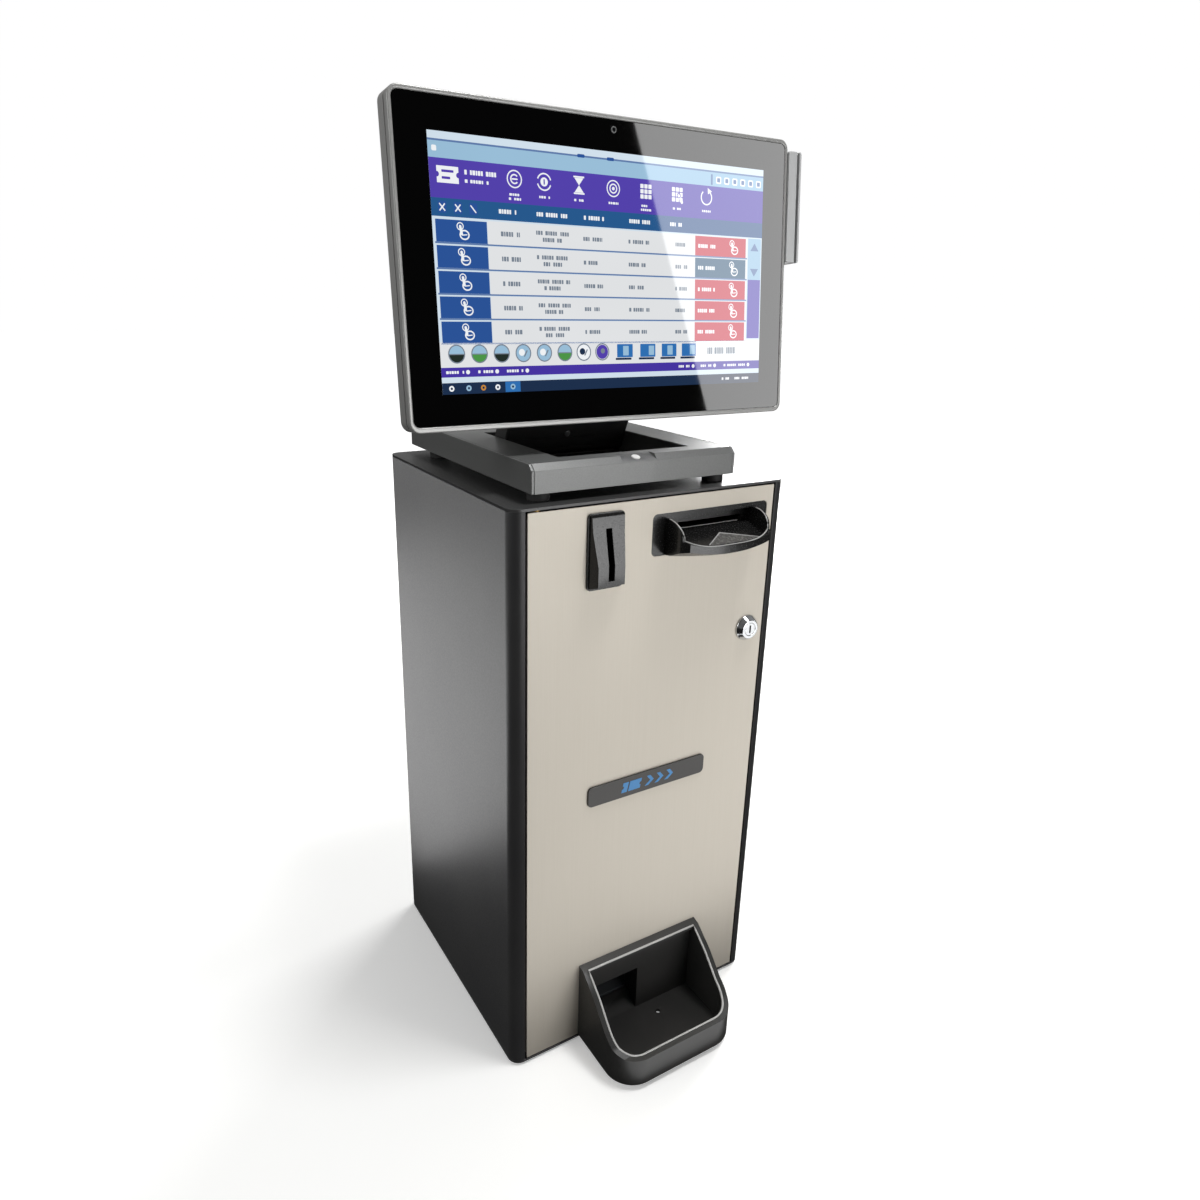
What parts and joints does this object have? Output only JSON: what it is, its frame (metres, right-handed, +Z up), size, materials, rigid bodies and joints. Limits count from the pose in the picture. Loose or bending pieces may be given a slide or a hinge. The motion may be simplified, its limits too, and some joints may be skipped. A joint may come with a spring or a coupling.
{
  "type": "ticket vending machine",
  "caption": "Cash cabinet with a hinged door, coin slot, banknote mouth, lock and coin cup, carrying a tilting touch-screen terminal.",
  "frame": {"origin": "centre of the four floor anchors, on the floor, under the middle of the cabinet", "axes": "+X to the right seen from the front, +Y from the front to the back, +Z up; the door faces -Y"},
  "size_m": [0.41, 0.379, 0.8923],
  "materials": {
    "wrap": "satin powder coat, dark grey",
    "top": "satin powder coat, mid grey",
    "rubber": "moulded rubber",
    "steel": "zinc-plated steel",
    "bronze": "sintered bronze",
    "door": "champagne metallic, fine vertical brushing",
    "black_plastic": "moulded black ABS",
    "hopper_plastic": "moulded blue ABS",
    "light_plastic": "moulded acetal",
    "device_plastic": "moulded dark grey ABS",
    "amber_plastic": "moulded acetal, amber",
    "red_plastic": "moulded acetal, red",
    "circuit": "green circuit board with parts",
    "chrome": "polished chrome plate",
    "badge": "dark grey plate",
    "terminal_grey": "silver-grey metallic paint",
    "bezel_grey": "silver-grey metallic paint",
    "neck_black": "fine-textured black powder coat",
    "glass": "black-backed cover glass, opaque",
    "lens": "camera lens and ring",
    "white_plastic": "moulded white button"
  },
  "bodies": {
    "cabinet": {"cabinet_wrap": "wrap", "top_panel": "top", "bottom_panel": "wrap", "glides": "rubber", "hinge_bushes": "bronze", "lock_strike": "steel", "hopper_shelf": "steel", "hopper_bins": "hopper_plastic", "hopper_bases": "device_plastic", "sorter_chute": "steel", "coin_chute": "device_plastic", "power_supply": "steel", "control_board": "circuit", "power_inlet": "black_plastic", "inlet_blades": "bronze", "cable_grommet": "rubber", "base_housing": "terminal_grey", "base_cheeks": "terminal_grey", "base_plate": "steel", "base_well": "black_plastic", "base_feet": "rubber", "base_screws": "steel", "mainboard": "circuit", "foot_hinge_pin": "steel"},
    "door": {"door_panel": "door", "hinge_pins": "steel", "coin_bezel": "black_plastic", "coin_validator": "device_plastic", "note_bezel": "black_plastic", "note_head": "device_plastic", "note_cassette": "device_plastic", "lock_body": "chrome", "lock_nut": "steel", "badge_plate": "badge", "coin_cup": "black_plastic", "door_screws": "steel"},
    "lock_barrel": {"lock_plug": "chrome", "lock_cam": "steel"},
    "gate": {"validator_gate": "red_plastic"},
    "feed": {"feed_roller": "rubber"},
    "pinch": {"pinch_roller": "light_plastic"},
    "disc_left": {"hopper_disc_left": "light_plastic"},
    "disc_right": {"hopper_disc_right": "light_plastic"},
    "flap": {"sorter_flap": "amber_plastic"},
    "button": {"power_button": "white_plastic"},
    "neck": {"neck_arm": "neck_black", "neck_cover": "neck_black", "neck_screw": "steel", "head_hinge_pin": "steel"},
    "screen": {"screen_bracket": "neck_black", "screen_back": "bezel_grey", "screen_bezel": "bezel_grey", "cover_glass": "glass", "display_panel": "device_plastic", "webcam": "lens", "card_reader": "bezel_grey"}
  },
  "joints": [
    {"name": "door_swing", "type": "hinge", "parent": "cabinet", "child": "door", "pos_m": [-0.1245, -0.14, 0.3], "axis": [0, 0, -1], "range_deg": [0, 105]},
    {"name": "lock_turn", "type": "hinge", "parent": "door", "child": "lock_barrel", "pos_m": [0.1139, -0.146, 0.434], "axis": [0, -1, 0], "range_deg": [0, 90]},
    {"name": "gate_swing", "type": "hinge", "parent": "door", "child": "gate", "pos_m": [-0.0587, -0.0855, 0.4985], "axis": [1, 0, 0], "range_deg": [-20, 20]},
    {"name": "feed_turn", "type": "hinge", "parent": "door", "child": "feed", "pos_m": [0.0596, -0.092, 0.5398], "axis": [1, 0, 0], "continuous": true},
    {"name": "pinch_turn", "type": "hinge", "parent": "door", "child": "pinch", "pos_m": [0.0596, -0.092, 0.555], "axis": [1, 0, 0], "continuous": true},
    {"name": "disc_left_turn", "type": "hinge", "parent": "cabinet", "child": "disc_left", "pos_m": [-0.064, -0.014, 0.14], "axis": [0, 0, 1], "continuous": true},
    {"name": "disc_right_turn", "type": "hinge", "parent": "cabinet", "child": "disc_right", "pos_m": [0.046, -0.014, 0.14], "axis": [0, 0, 1], "continuous": true},
    {"name": "sorter_swing", "type": "hinge", "parent": "cabinet", "child": "flap", "pos_m": [-0.0587, -0.0375, 0.316], "axis": [0, 1, 0], "range_deg": [-28, 28]},
    {"name": "button_press", "type": "slide", "parent": "cabinet", "child": "button", "axis": [0, 0.3162, -0.9487], "range_m": [0, 0.001], "stiffness_N_per_m": 600},
    {"name": "neck_fold", "type": "hinge", "parent": "cabinet", "child": "neck", "pos_m": [-0.0164, 0.0103, 0.605], "axis": [1, 0, 0], "range_deg": [-12, 10]},
    {"name": "screen_tilt", "type": "hinge", "parent": "neck", "child": "screen", "pos_m": [-0.0164, -0.03393, 0.69691], "axis": [1, 0, 0], "range_deg": [-30, 5]}
  ],
  "couplings": [
    {"joint": "pinch_turn", "follows": "feed_turn", "ratio": -1.5}
  ]
}
